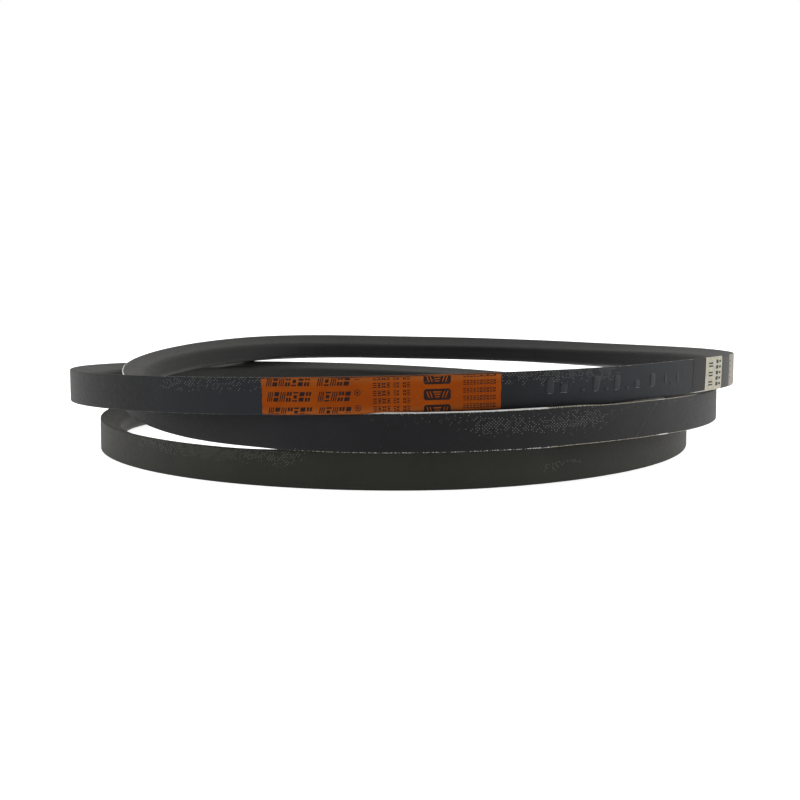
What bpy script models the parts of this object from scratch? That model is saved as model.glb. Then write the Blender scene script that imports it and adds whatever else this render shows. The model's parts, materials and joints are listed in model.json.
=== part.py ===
"""Endless wrapped V-belt, B section (17 x 11 mm, 40 degree V), wound into a three-turn coil and lying on its side.

The coil axis is +Z, +Y points away from the front strand, and the belt's wide back faces outward all round.
The centre line is described by six half turns.  Each half turn is half of an ellipse in plan, its height is a smooth
curve through a few levels, and the section leans a little in three places.  Every layer of the belt is a loft of its
own outline along that centre line.
"""

import math

import bmesh
import bpy
from mathutils import Vector

MM = 0.001

# ---------------------------------------------------------------- belt section (mm)
BACK_HALF = 8.5                       # half of the 17 mm back width
DEPTH_HALF = 5.5                      # half of the 11 mm depth
SLOPE = math.tan(math.radians(20.0))  # each flank leans 20 degrees
CORNER = 0.9                          # chamfer of the wrapped corners
PLY = 0.70                            # outer cover ply thickness
PLY_GAP = 0.25
INNER_PLY = 0.60                      # inner cover ply thickness
STACK = PLY + PLY_GAP + INNER_PLY + PLY_GAP   # depth of the stack inside both plies
CORD_COUNT = 8
CORD_PITCH = 1.25
CORD_RADIUS = 0.475
CORD_LINE = 1.05                      # cords lie this far outside mid depth
# radial span of each inner layer, measured outward from mid depth
LAYERS = {
    "tension_rubber": (2.60, DEPTH_HALF - STACK),
    "cushion_upper": (1.85, 2.35),
    "cushion_lower": (-0.20, 0.25),
    "compression_core": (-(DEPTH_HALF - STACK), -0.45),
}

# ---------------------------------------------------------------- coil layout (mm, degrees)
# Places along the belt are counted in half turns, 0 to 6: the upper turn's front is 0-1 and its back 1-2, then
# the middle turn's front and back, then the lower turn's.  Even whole numbers are left ends, odd ones right ends.
ENDS = [-180, 187, -149.5, 173, -165.5, 157]  # x of the six places where the belt turns round
SET_BACK = [0, 22, -10, 0, 7, 0]              # how far each of them lies behind the coil's axis
FRONT_Y = [-174, -176, -169]                  # furthest forward of the upper, middle and lower turn
BACK_Y = [213, 184, 169]                      # furthest back of each turn; the upper one bows out behind the others
# height of the section's middle: the lower turn lies on its flank (8.5 is half the back's width), the others rest
# about one belt width higher each time, and the upper turn sags behind, where nothing is under it
LEVELS = [(0.0, 34), (0.25, 40.5), (0.5, 45), (0.65, 46), (0.8, 46), (1.0, 41.5),
          (1.25, 36), (1.5, 37), (1.75, 41.5), (2.0, 37.5),
          (2.25, 28), (2.4, 26.5), (2.6, 27.5), (2.75, 28), (3.0, 24.5),
          (3.5, 9.5), (3.75, 8.5), (4.5, 8.5), (4.75, 10), (5.0, 11.5), (5.5, 21)]
# lean of the section about the centre line: where it is greatest, and how much; it dies out half a half turn away
LEANS = {0.5: -4, 1.5: 18, 2.5: 8}

STEPS = 24            # stations in each half turn
CUT = 0.50            # slit between runs at the flex lines


def level(s):
    """Height at s: a smooth closed curve through LEVELS, with its slope at each taken from the two beside it."""
    n = len(LEVELS)
    s %= 6.0
    k = max(i for i, (where, _) in enumerate(LEVELS) if where <= s)
    (w0, z0), (w1, z1), (w2, z2), (w3, z3) = [
        (LEVELS[(k + i) % n][0] + 6.0 * ((k + i) // n), LEVELS[(k + i) % n][1]) for i in (-1, 0, 1, 2)]
    t = (s - w1) / (w2 - w1)
    m1 = (z2 - z0) / (w2 - w0) * (w2 - w1)
    m2 = (z3 - z1) / (w3 - w1) * (w2 - w1)
    return ((2 * t ** 3 - 3 * t ** 2 + 1) * z1 + (t ** 3 - 2 * t ** 2 + t) * m1
            + (-2 * t ** 3 + 3 * t ** 2) * z2 + (t ** 3 - t ** 2) * m2)


def lean(s):
    """Lean of the section at s, in radians."""
    s %= 6.0
    return math.radians(sum(most * math.cos(math.pi * (s - where)) ** 2
                            for where, most in LEANS.items() if abs(s - where) < 0.5))


def centre(s):
    """Centre line at s: each half turn is half of an ellipse between two of the ends."""
    s %= 6.0
    k = int(math.floor(s))
    u = s - k
    j = (k + 1) % 6
    furthest = (BACK_Y if k % 2 else FRONT_Y)[k // 2]
    x0, y0 = (ENDS[k] + ENDS[j]) / 2, (SET_BACK[k] + SET_BACK[j]) / 2
    cu, su = math.cos(math.pi * u), math.sin(math.pi * u)
    x = x0 + (ENDS[k] - ENDS[j]) / 2 * cu
    y = y0 + (SET_BACK[k] - SET_BACK[j]) / 2 * cu + (furthest - y0) * su
    return Vector((x, y, level(s)))


def frame(s):
    """Centre, tangent, outward direction and width direction of the section at s half turns."""
    e = 1e-4
    c = centre(s)
    t = (centre(s + e) - centre(s - e)).normalized()
    up = Vector((0, 0, 1))
    b0 = (up - up.dot(t) * t).normalized()
    n0 = t.cross(b0)
    r = lean(s)
    n = math.cos(r) * n0 + math.sin(r) * b0
    b = -math.sin(r) * n0 + math.cos(r) * b0
    return c, t, n, b


def half_width(p, inset=0.0):
    """Half width of the V at depth p, drawn in by inset normal to the flanks."""
    return BACK_HALF - (DEPTH_HALF - p) * SLOPE - inset / math.cos(math.radians(20.0))


# A run is a stretch of belt between two flex lines; "slit" says which ends stop at one.
RUNS = {
    "upper": (0.0, 2.0),
    "mid_front": (2.0, 3.0),
    "lower": (3.0, 5.0),
    "mid_back": (5.0, 6.0),
}


def stations(run):
    """Placements along a run; the two end sections are slid along the belt onto a plane of constant y."""
    s0, s1 = RUNS[run]
    count = int(round((s1 - s0) * STEPS))
    out = []
    for i in range(count + 1):
        s = s0 + (s1 - s0) * i / count
        c, t, n, b = frame(s)
        plane = None
        if i in (0, count):
            inward = 1.0 if i == 0 else -1.0
            plane = c.y + inward * math.copysign(CUT / 2, t.y)
        out.append((c, t, n, b, plane))
    return out


def place(station, p, q):
    c, t, n, b, plane = station
    v = c + p * n + q * b
    if plane is not None:
        v = v + t * ((plane - v.y) / t.y)
    return v


def prism_outline(p0, p1, inset):
    """Trapezoid between two depths, in the order base-low, back-low, back-high, base-high."""
    return [(p0, -half_width(p0, inset)), (p1, -half_width(p1, inset)),
            (p1, half_width(p1, inset)), (p0, half_width(p0, inset))]


def chamfered(outline, cut):
    """Each corner replaced by two points, one back along each side."""
    out = []
    n = len(outline)
    for i, (p, q) in enumerate(outline):
        for j in ((i - 1) % n, (i + 1) % n):
            dp, dq = outline[j][0] - p, outline[j][1] - q
            length = math.hypot(dp, dq)
            out.append((p + dp / length * cut, q + dq / length * cut))
    return out


def round_outline(p, q, radius, sides):
    return [(p + radius * math.cos(2 * math.pi * (k + 0.5) / sides),
             q + radius * math.sin(2 * math.pi * (k + 0.5) / sides)) for k in range(sides)]


def rings(bm, places, outline):
    return [[bm.verts.new(place(st, p, q) * MM) for p, q in outline] for st in places]


def skin(bm, loops, outline):
    """Sides of a loft.  Every panel is split from its lower edge up, so layers stay parallel where the belt rolls."""
    for a, b in zip(loops, loops[1:]):
        n = len(a)
        for i in range(n):
            j = (i + 1) % n
            rises = (round(outline[i][1], 6), outline[i][0]) < (round(outline[j][1], 6), outline[j][0])
            if rises:
                bm.faces.new((a[i], a[j], b[j]))
                bm.faces.new((a[i], b[j], b[i]))
            else:
                bm.faces.new((a[i], a[j], b[i]))
                bm.faces.new((a[j], b[j], b[i]))


def solid_loft(places, outline):
    bm = bmesh.new()
    loops = rings(bm, places, outline)
    skin(bm, loops, outline)
    bm.faces.new(list(reversed(loops[0])))
    bm.faces.new(loops[-1])
    return bm


def tube_loft(places, outer, inner):
    """Wrapped ply: chamfered or plain outside, plain inside, annular ends."""
    bm = bmesh.new()
    out_loops = rings(bm, places, outer)
    in_loops = rings(bm, places, inner)
    skin(bm, out_loops, outer)
    skin(bm, in_loops, inner)
    per = len(outer) // len(inner)
    n = len(inner)
    for end in (0, -1):
        o, i = out_loops[end], in_loops[end]
        for k in range(n):
            m = (k + 1) % n
            last = o[k * per + per - 1]
            if per == 2:
                bm.faces.new((o[k * 2], o[k * 2 + 1], i[k]))
            bm.faces.new((last, o[m * per], i[m], i[k]))
    return bm


def finish(bm, name, material, collection, origin):
    bmesh.ops.recalc_face_normals(bm, faces=bm.faces)
    if bm.calc_volume(signed=True) < 0:
        bmesh.ops.reverse_faces(bm, faces=bm.faces)
    for v in bm.verts:
        v.co -= origin
    mesh = bpy.data.meshes.new(name)
    bm.to_mesh(mesh)
    bm.free()
    for poly in mesh.polygons:
        poly.use_smooth = True
    if "_cord_" not in name:
        mesh.set_sharp_from_angle(angle=math.radians(30))
    mesh.materials.append(material)
    obj = bpy.data.objects.new(name, mesh)
    obj.location = origin
    collection.objects.link(obj)
    return obj


def material(name, colour, roughness):
    m = bpy.data.materials.new(name)
    m.use_nodes = True
    shader = m.node_tree.nodes["Principled BSDF"]
    shader.inputs["Base Color"].default_value = (*colour, 1.0)
    shader.inputs["Roughness"].default_value = roughness
    m.diffuse_color = (*colour, 1.0)
    return m


COLOURS = {
    "cover_outer": ((0.030, 0.031, 0.034), 0.75),
    "cover_inner": ((0.055, 0.052, 0.048), 0.85),
    "tension_rubber": ((0.020, 0.020, 0.021), 0.60),
    "cushion_upper": ((0.075, 0.060, 0.045), 0.60),
    "cushion_lower": ((0.075, 0.060, 0.045), 0.60),
    "compression_core": ((0.015, 0.015, 0.016), 0.60),
    "cord": ((0.62, 0.58, 0.50), 0.70),
    "size_label": ((0.85, 0.22, 0.05), 0.55),
    "code_label": ((0.05, 0.05, 0.05), 0.45),
}

# Printed labels wrap the back of the front strand of the upper turn: span of s, half width, and lift off the cover
LABELS = {
    "size_label": (0.386, 0.571, 7.45),
    "code_label": (0.774, 0.940, 7.45),
}
LABEL_LIFT = 0.28
LABEL_THICK = 0.22


def label_stations(s0, s1):
    """Stations at the same places as the cover's own, plus the label's two ends on the straight between them."""
    marks = [s0] + [k / STEPS for k in range(STEPS + 1) if s0 + 0.008 < k / STEPS < s1 - 0.008] + [s1]
    out = []
    for s in marks:
        k = s * STEPS
        lo, hi = math.floor(k + 1e-9) / STEPS, math.ceil(k - 1e-9) / STEPS
        a = frame(lo)
        if hi - lo < 1e-6:
            out.append((*a, None))
            continue
        f = (s - lo) / (hi - lo)
        b = frame(hi)
        out.append(tuple(a[i].lerp(b[i], f) for i in range(4)) + (None,))
    return out


def build():
    for obj in list(bpy.data.objects):
        bpy.data.objects.remove(obj, do_unlink=True)
    parts = bpy.data.collections.new("coiled_v_belt")
    bpy.context.scene.collection.children.link(parts)

    jobs = []
    for run in RUNS:
        places = stations(run)
        trapezoid = prism_outline(-DEPTH_HALF, DEPTH_HALF, 0.0)
        within = PLY
        jobs.append((f"{run}_cover_outer", "cover_outer",
                     tube_loft(places, chamfered(trapezoid, CORNER),
                               prism_outline(-DEPTH_HALF + within, DEPTH_HALF - within, within))))
        a, b = PLY + PLY_GAP, PLY + PLY_GAP + INNER_PLY
        jobs.append((f"{run}_cover_inner", "cover_inner",
                     tube_loft(places, prism_outline(-DEPTH_HALF + a, DEPTH_HALF - a, a),
                               prism_outline(-DEPTH_HALF + b, DEPTH_HALF - b, b))))
        for layer, (p0, p1) in LAYERS.items():
            jobs.append((f"{run}_{layer}", layer, solid_loft(places, prism_outline(p0, p1, STACK))))
        for k in range(CORD_COUNT):
            q = (k - (CORD_COUNT - 1) / 2) * CORD_PITCH
            jobs.append((f"{run}_cord_{k + 1}", "cord",
                         solid_loft(places, round_outline(CORD_LINE, q, CORD_RADIUS, 4))))
    for name, (s0, s1, half) in LABELS.items():
        p0 = DEPTH_HALF + LABEL_LIFT
        p1 = p0 + LABEL_THICK
        jobs.append((name, name, solid_loft(label_stations(s0, s1),
                                            [(p0, -half), (p1, -half), (p1, half), (p0, half)])))

    # the origin is the middle of the coil's footprint, on the surface it lies on
    cover = [v.co for name, _, bm in jobs if name.endswith("cover_outer") or name in LABELS for v in bm.verts]
    low = Vector([min(c[i] for c in cover) for i in range(3)])
    high = Vector([max(c[i] for c in cover) for i in range(3)])
    shift = Vector(((low.x + high.x) / 2, (low.y + high.y) / 2, low.z))
    for _, _, bm in jobs:
        bmesh.ops.translate(bm, vec=-shift, verts=bm.verts)
    print("shift mm", [round(c / MM, 4) for c in shift], "size mm", [round(c / MM, 3) for c in (high - low)])

    # flex line axes, parallel to y: runs of the middle turn swing on the right, the upper turn on the left
    right = (Vector(((ENDS[3] + ENDS[5]) / 2, 0, (level(3) + level(5)) / 2)) * MM) - Vector((shift.x, 0, shift.z))
    left = (Vector(((ENDS[0] + ENDS[2]) / 2, 0, (level(0) + level(2)) / 2)) * MM) - Vector((shift.x, 0, shift.z))
    right.y = left.y = 0.0
    print("right axis", list(right), "left axis", list(left))
    origins = {"mid_front": right, "mid_back": right, "upper": left, "size_label": left, "code_label": left}

    for name, key, bm in jobs:
        colour, rough = COLOURS[key]
        origin = Vector((0, 0, 0))
        for prefix, o in origins.items():
            if name.startswith(prefix):
                origin = o
        finish(bm, name, material("m_" + name, colour, rough), parts, origin)


build()
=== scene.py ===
"""Looks for the coiled V-belt: one wrapped belt skin that bends with the coil's two flex lines, its printed label,
code label, raised marks, cover splice and frayed edges, on a pale floor under soft light."""

import json
import math
import random

import bmesh
import bpy
import numpy as np
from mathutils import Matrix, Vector, noise


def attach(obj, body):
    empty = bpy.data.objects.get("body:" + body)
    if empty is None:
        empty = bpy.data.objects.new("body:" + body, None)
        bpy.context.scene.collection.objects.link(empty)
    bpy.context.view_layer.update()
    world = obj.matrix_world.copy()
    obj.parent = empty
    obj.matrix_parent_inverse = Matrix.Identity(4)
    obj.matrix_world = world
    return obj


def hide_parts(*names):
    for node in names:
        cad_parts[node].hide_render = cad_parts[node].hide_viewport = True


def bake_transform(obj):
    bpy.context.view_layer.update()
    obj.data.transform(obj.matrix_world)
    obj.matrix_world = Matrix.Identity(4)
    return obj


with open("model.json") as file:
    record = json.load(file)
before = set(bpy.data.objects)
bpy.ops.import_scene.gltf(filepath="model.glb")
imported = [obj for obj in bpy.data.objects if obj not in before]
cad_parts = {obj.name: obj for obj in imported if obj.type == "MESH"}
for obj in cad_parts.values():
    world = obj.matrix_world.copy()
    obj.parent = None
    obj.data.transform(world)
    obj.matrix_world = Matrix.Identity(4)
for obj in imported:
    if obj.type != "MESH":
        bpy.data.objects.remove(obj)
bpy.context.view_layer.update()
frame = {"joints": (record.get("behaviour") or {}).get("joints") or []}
MM = 0.001

# ------------------------------------------------------------------ the belt's path, as in the CAD (mm, degrees)
# Places along the belt are counted in half turns, 0 to 6: the upper turn's front is 0-1 and its back 1-2, then
# the middle turn's front and back, then the lower turn's.  Even whole numbers are left ends, odd ones right ends.
ENDS = [-180, 187, -149.5, 173, -165.5, 157]  # x of the six places where the belt turns round
SET_BACK = [0, 22, -10, 0, 7, 0]              # how far each of them lies behind the coil's axis
FRONT_Y = [-174, -176, -169]                  # furthest forward of the upper, middle and lower turn
BACK_Y = [213, 184, 169]                      # furthest back of each turn; the upper one bows out behind the others
# height of the section's middle: the lower turn lies on its flank (8.5 is half the back's width), the others rest
# about one belt width higher each time, and the upper turn sags behind, where nothing is under it
LEVELS = [(0.0, 34), (0.25, 40.5), (0.5, 45), (0.65, 46), (0.8, 46), (1.0, 41.5),
          (1.25, 36), (1.5, 37), (1.75, 41.5), (2.0, 37.5),
          (2.25, 28), (2.4, 26.5), (2.6, 27.5), (2.75, 28), (3.0, 24.5),
          (3.5, 9.5), (3.75, 8.5), (4.5, 8.5), (4.75, 10), (5.0, 11.5), (5.5, 21)]
# lean of the section about the centre line: where it is greatest, and how much; it dies out half a half turn away
LEANS = {0.5: -4, 1.5: 18, 2.5: 8}
JOINT = {j["name"]: j for j in frame["joints"]}
_right = JOINT["spread_middle_turn"]["pos_m"]
SHIFT_Y = 19.1796   # middle of the coil's footprint in y, from the CAD


def level(s):
    """Height at s: a smooth closed curve through LEVELS, with its slope at each taken from the two beside it."""
    n = len(LEVELS)
    s %= 6.0
    k = max(i for i, (where, _) in enumerate(LEVELS) if where <= s)
    (w0, z0), (w1, z1), (w2, z2), (w3, z3) = [
        (LEVELS[(k + i) % n][0] + 6.0 * ((k + i) // n), LEVELS[(k + i) % n][1]) for i in (-1, 0, 1, 2)]
    t = (s - w1) / (w2 - w1)
    m1 = (z2 - z0) / (w2 - w0) * (w2 - w1)
    m2 = (z3 - z1) / (w3 - w1) * (w2 - w1)
    return ((2 * t ** 3 - 3 * t ** 2 + 1) * z1 + (t ** 3 - 2 * t ** 2 + t) * m1
            + (-2 * t ** 3 + 3 * t ** 2) * z2 + (t ** 3 - t ** 2) * m2)


def lean(s):
    """Lean of the section at s, in radians."""
    s %= 6.0
    return math.radians(sum(most * math.cos(math.pi * (s - where)) ** 2
                            for where, most in LEANS.items() if abs(s - where) < 0.5))


SHIFT = np.array([(ENDS[3] + ENDS[5]) / 2 - _right[0] / MM, SHIFT_Y, (level(3) + level(5)) / 2 - _right[2] / MM])


def centre(s):
    """Centre line at s: each half turn is half of an ellipse between two of the ends."""
    s %= 6.0
    k = int(math.floor(s))
    u = s - k
    j = (k + 1) % 6
    furthest = (BACK_Y if k % 2 else FRONT_Y)[k // 2]
    x0, y0 = (ENDS[k] + ENDS[j]) / 2, (SET_BACK[k] + SET_BACK[j]) / 2
    cu, su = math.cos(math.pi * u), math.sin(math.pi * u)
    x = x0 + (ENDS[k] - ENDS[j]) / 2 * cu
    y = y0 + (SET_BACK[k] - SET_BACK[j]) / 2 * cu + (furthest - y0) * su
    return np.array([x, y, level(s)]) - SHIFT


def ripple(s, seed, waves=(13, 19, 29, 43), size=1.0):
    """Small closed unevenness along the belt."""
    return size * sum(math.sin(2 * math.pi * k * s / 6.0 + seed * 1.7 + k * 0.9) / (1 + i) for i, k in enumerate(waves)) / 2.1


_cache = {}


def placed(s):
    """Centre, outward direction and width direction at s half turns, with the slight unevenness of a real belt."""
    key = round(s, 7)
    if key in _cache:
        return _cache[key]
    e = 1e-4
    c = centre(s)
    t = centre(s + e) - centre(s - e)
    t /= np.linalg.norm(t)
    b0 = np.array([0, 0, 1.0]) - t[2] * t
    b0 /= np.linalg.norm(b0)
    n0 = np.cross(t, b0)
    r = lean(s) + math.radians(ripple(s, 2.0, size=0.35))
    n = math.cos(r) * n0 + math.sin(r) * b0
    b = -math.sin(r) * n0 + math.cos(r) * b0
    c = c + n * ripple(s, 1.0, size=0.07)
    _cache[key] = (c, n, b, t)
    return _cache[key]


# running length along the belt, for weave and print that keep their true scale
GRID = np.linspace(-1.0, 7.0, 8 * 300 + 1)
_pts = np.array([centre(s) for s in GRID])
RUN = np.concatenate([[0.0], np.cumsum(np.linalg.norm(np.diff(_pts, axis=0), axis=1))])
RUN -= np.interp(0.0, GRID, RUN)


def run_at(s):
    return float(np.interp(s, GRID, RUN))


def s_at(run):
    return float(np.interp(run, RUN, GRID))


# ------------------------------------------------------------------ the section (mm)
# the outline before its corners are rounded; rounded, the back measures a little over 17 mm across
BACK, DEEP = 8.88, 5.5
BASE = BACK - 2 * DEEP * math.tan(math.radians(20.0))


def section():
    """Closed rounded V outline, from the middle of the base round by the lower flank and the back.
    Gives depth, width, outward normal and running distance of every point."""
    corners = [((-DEEP, -BASE), 2.8), ((DEEP, -BACK), 0.55), ((DEEP, BACK), 0.55), ((-DEEP, BASE), 2.8)]
    pts = [(-DEEP, 0.0)]
    for k, ((cp, cq), r) in enumerate(corners):
        prev = np.array(corners[k - 1][0] if k else (-DEEP, 0.0))
        nxt = np.array(corners[k + 1][0] if k < 3 else (-DEEP, 0.0))
        c = np.array([cp, cq])
        d0 = (prev - c) / np.linalg.norm(prev - c)
        d1 = (nxt - c) / np.linalg.norm(nxt - c)
        half = math.acos(float(np.clip(d0 @ d1, -1, 1))) / 2
        reach = r / math.tan(half)
        mid = c + (d0 + d1) / np.linalg.norm(d0 + d1) * (r / math.sin(half))
        a, z = c + d0 * reach - mid, c + d1 * reach - mid
        start = np.array(pts[-1])
        first = mid + a
        steps = {0: 3, 1: 7, 2: 10, 3: 7}[k]
        for i in range(1, steps):
            f = i / steps
            p = start + (first - start) * f
            side = np.array([first[1] - start[1], -(first[0] - start[0])])
            side /= np.linalg.norm(side)
            if k in (1, 3):  # the flanks are drawn in a little between the corners
                p = p - side * 0.16 * math.sin(math.pi * f) * np.sign(side @ (p - np.array([0.0, 0.0])))
            pts.append(tuple(p))
        th0, th1 = math.atan2(a[1], a[0]), math.atan2(z[1], z[0])
        turn = (th1 - th0 + math.pi) % (2 * math.pi) - math.pi
        for i in range(6):
            th = th0 + turn * i / 5
            pts.append((mid[0] + r * math.cos(th), mid[1] + r * math.sin(th)))
    last = pts[-1]
    for f in (1 / 3, 2 / 3):
        pts.append((-DEEP, last[1] * (1 - f)))
    pts = np.array(pts)
    # the cover is lapped on the base: a low step along one side
    step = np.clip((pts[:, 1] - 0.4) / 0.5, 0, 1) * (pts[:, 0] < -DEEP + 0.6)
    pts[:, 0] -= 0.10 * step * (pts[:, 0] < -DEEP + 0.02)
    nxt, prev = np.roll(pts, -1, 0), np.roll(pts, 1, 0)
    tan = nxt - prev
    nor = np.stack([-tan[:, 1], tan[:, 0]], 1)
    nor /= np.linalg.norm(nor, axis=1)[:, None]
    if (nor * pts).sum() < 0:
        nor = -nor
    dist = np.concatenate([[0.0], np.cumsum(np.linalg.norm(np.diff(pts, axis=0), axis=1))])
    return pts, nor, dist, dist[-1] + float(np.linalg.norm(pts[0] - pts[-1]))


PTS, NOR, DIST, ROUND = section()
_back = [i for i in range(len(PTS)) if PTS[i, 0] > DEEP - 0.02]
V_MID = float(np.interp(0.0, [PTS[i, 1] for i in _back], [DIST[i] for i in _back]))
V_LOW = float(DIST[min(_back)]) - 0.53     # middle of the lower back corner
V_TOP = float(DIST[max(_back)]) + 0.53     # middle of the upper back corner


def on_belt(s, v, h=0.0):
    """Point h mm above the belt's skin, at s half turns and v mm round the outline (m)."""
    c, n, b, _ = placed(s)
    v = v % ROUND
    vs = np.append(DIST, ROUND)
    p = np.interp(v, vs, np.append(PTS[:, 0], PTS[0, 0]))
    q = np.interp(v, vs, np.append(PTS[:, 1], PTS[0, 1]))
    np_ = np.interp(v, vs, np.append(NOR[:, 0], NOR[0, 0]))
    nq = np.interp(v, vs, np.append(NOR[:, 1], NOR[0, 1]))
    k = math.hypot(np_, nq)
    return (c + (p + h * np_ / k) * n + (q + h * nq / k) * b) * MM


def bump(s, a, z, soft=0.03):
    """1 between a and z, easing to 0 over soft on each side."""
    up = min(max((s - a) / soft + 1, 0), 1)
    dn = min(max((z - s) / soft + 1, 0), 1)
    w = min(up, dn)
    return w * w * (3 - 2 * w)


# ------------------------------------------------------------------ materials
def node_kit(name):
    m = bpy.data.materials.new(name)
    m.use_nodes = True
    t = m.node_tree
    t.nodes.clear()
    out = t.nodes.new("ShaderNodeOutputMaterial")
    bsdf = t.nodes.new("ShaderNodeBsdfPrincipled")
    t.links.new(bsdf.outputs[0], out.inputs[0])

    def val(x, socket):
        if hasattr(x, "is_linked") or hasattr(x, "links"):
            t.links.new(x, socket)
        elif isinstance(x, (tuple, list)):
            socket.default_value = (*x, 1.0) if len(x) == 3 and socket.type == "RGBA" else x
        else:
            socket.default_value = x

    def math_(op, a, b=0.0, c=0.0, clamp=False):
        n = t.nodes.new("ShaderNodeMath")
        n.operation = op
        n.use_clamp = clamp
        for i, x in enumerate((a, b, c)):
            val(x, n.inputs[i])
        return n.outputs[0]

    def mix(f, a, b, kind="MIX"):
        n = t.nodes.new("ShaderNodeMix")
        n.data_type = "RGBA"
        n.blend_type = kind
        val(f, n.inputs[0])
        val(a, n.inputs[6])
        val(b, n.inputs[7])
        return n.outputs[2]

    def noise_(vec, scale, detail=2.0, rough=0.5):
        n = t.nodes.new("ShaderNodeTexNoise")
        t.links.new(vec, n.inputs["Vector"])
        n.inputs["Scale"].default_value = scale
        n.inputs["Detail"].default_value = detail
        n.inputs["Roughness"].default_value = rough
        return n.outputs["Fac"]

    def white(vec):
        n = t.nodes.new("ShaderNodeTexWhiteNoise")
        n.noise_dimensions = "2D"
        t.links.new(vec, n.inputs["Vector"])
        return n.outputs["Value"]

    def step(x, lo, hi):
        n = t.nodes.new("ShaderNodeMapRange")
        n.interpolation_type = "SMOOTHSTEP"
        val(x, n.inputs[0])
        n.inputs[1].default_value = lo
        n.inputs[2].default_value = hi
        return n.outputs[0]

    def bump_(height, strength, distance, normal=None):
        n = t.nodes.new("ShaderNodeBump")
        n.inputs["Strength"].default_value = strength
        n.inputs["Distance"].default_value = distance
        t.links.new(height, n.inputs["Height"])
        if normal is not None:
            t.links.new(normal, n.inputs["Normal"])
        return n.outputs[0]

    def attr(name_):
        n = t.nodes.new("ShaderNodeAttribute")
        n.attribute_name = name_
        return n

    def combine(x, y, z=0.0):
        n = t.nodes.new("ShaderNodeCombineXYZ")
        for i, q in enumerate((x, y, z)):
            val(q, n.inputs[i])
        return n.outputs[0]

    uv = t.nodes.new("ShaderNodeUVMap")
    uv.uv_map = "UVMap"
    sep = t.nodes.new("ShaderNodeSeparateXYZ")
    t.links.new(uv.outputs[0], sep.inputs[0])
    coord = t.nodes.new("ShaderNodeTexCoord")
    kit = dict(m=m, t=t, bsdf=bsdf, math=math_, mix=mix, noise=noise_, white=white, step=step, bump=bump_, attr=attr,
               combine=combine, uv=uv.outputs[0], u=sep.outputs[0], v=sep.outputs[1], obj=coord.outputs["Object"],
               val=val)
    return kit


PITCH = 1.50  # weave pitch along the belt (mm); the threads lie at 45 degrees to it


def weave(k):
    """Height of a bias-cut plain weave; u and v are in mm."""
    M = k["math"]
    a = M("COSINE", M("MULTIPLY", k["u"], 2 * math.pi / PITCH))
    b = M("COSINE", M("MULTIPLY", k["v"], 2 * math.pi / PITCH))
    return M("MULTIPLY", a, b)


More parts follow.
